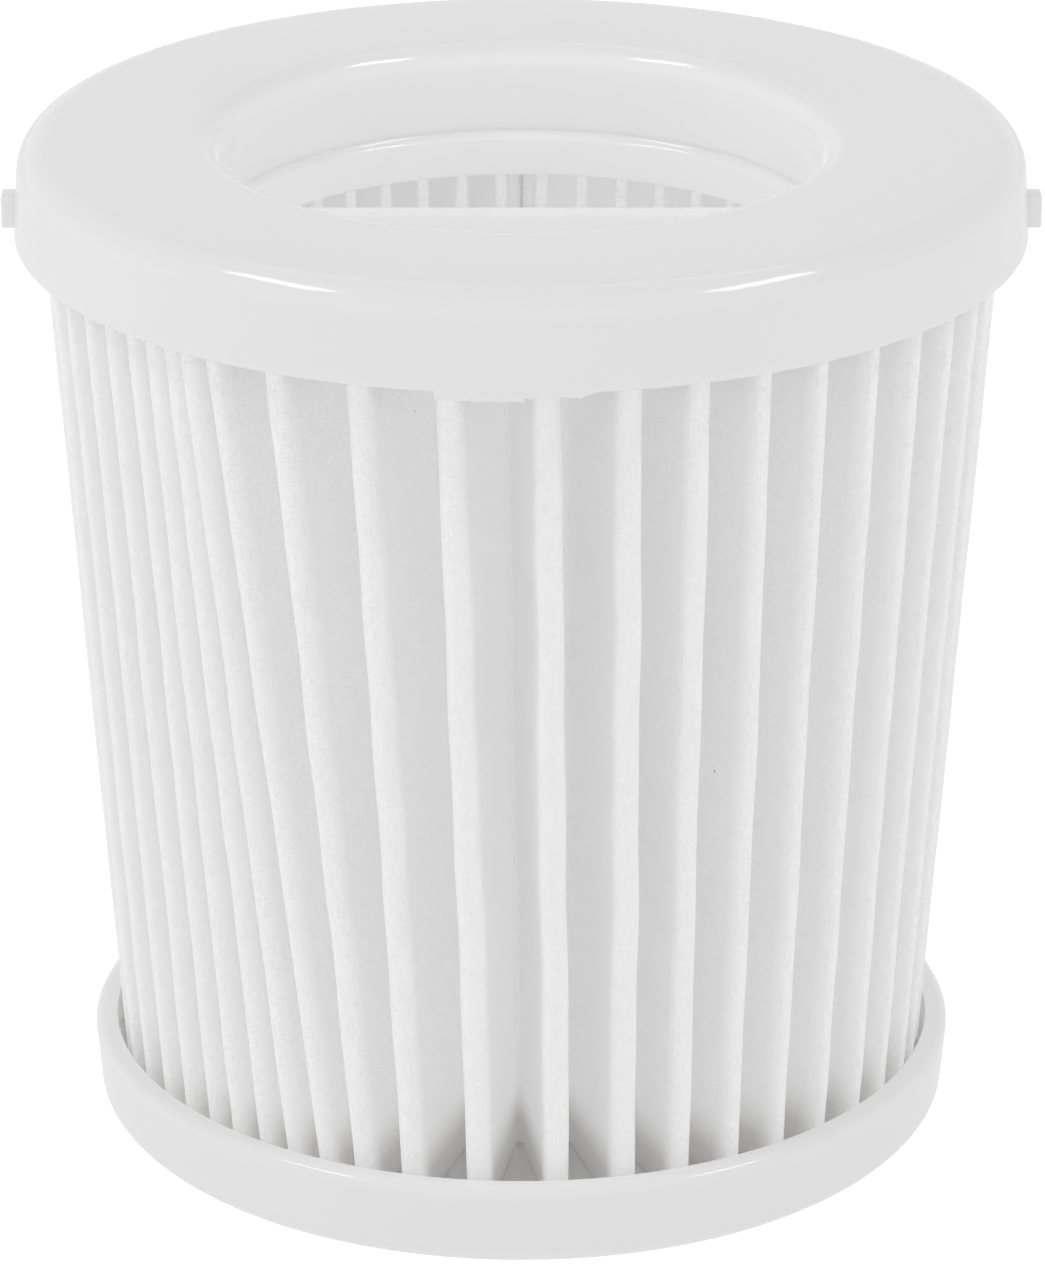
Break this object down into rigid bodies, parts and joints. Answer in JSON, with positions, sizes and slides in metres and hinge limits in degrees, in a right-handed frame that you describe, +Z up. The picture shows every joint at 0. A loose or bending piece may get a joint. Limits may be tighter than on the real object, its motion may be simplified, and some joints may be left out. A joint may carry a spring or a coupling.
{
  "type": "pleated filter cartridge",
  "caption": "Tapered pleated filter cartridge with a wide lugged top cap, an open bore crossed by a grip web, and a closed bottom cup.",
  "frame": {"origin": "centre of the flat bottom, on the cartridge's axis", "axes": "+Z up along the cartridge's axis, out of the open bore; +X along the grip web and through the right-hand lug; -Y is the front"},
  "size_m": [0.0926, 0.0902, 0.0936],
  "materials": {
    "cap_plastic": "satin-gloss white moulded plastic",
    "insert_plastic": "satin-gloss white moulded plastic",
    "upper_glue": "cured white adhesive",
    "sheet_fibre": "matt white non-woven filter media",
    "seam_glue": "cured white adhesive",
    "lower_glue": "cured white adhesive",
    "cup_plastic": "satin-gloss white moulded plastic"
  },
  "bodies": {
    "root": {"top_end_cap": "cap_plastic", "grip_insert": "insert_plastic", "top_potting": "upper_glue", "pleated_media": "sheet_fibre", "media_seam": "seam_glue", "bottom_potting": "lower_glue", "bottom_end_cap": "cup_plastic"}
  },
  "joints": []
}
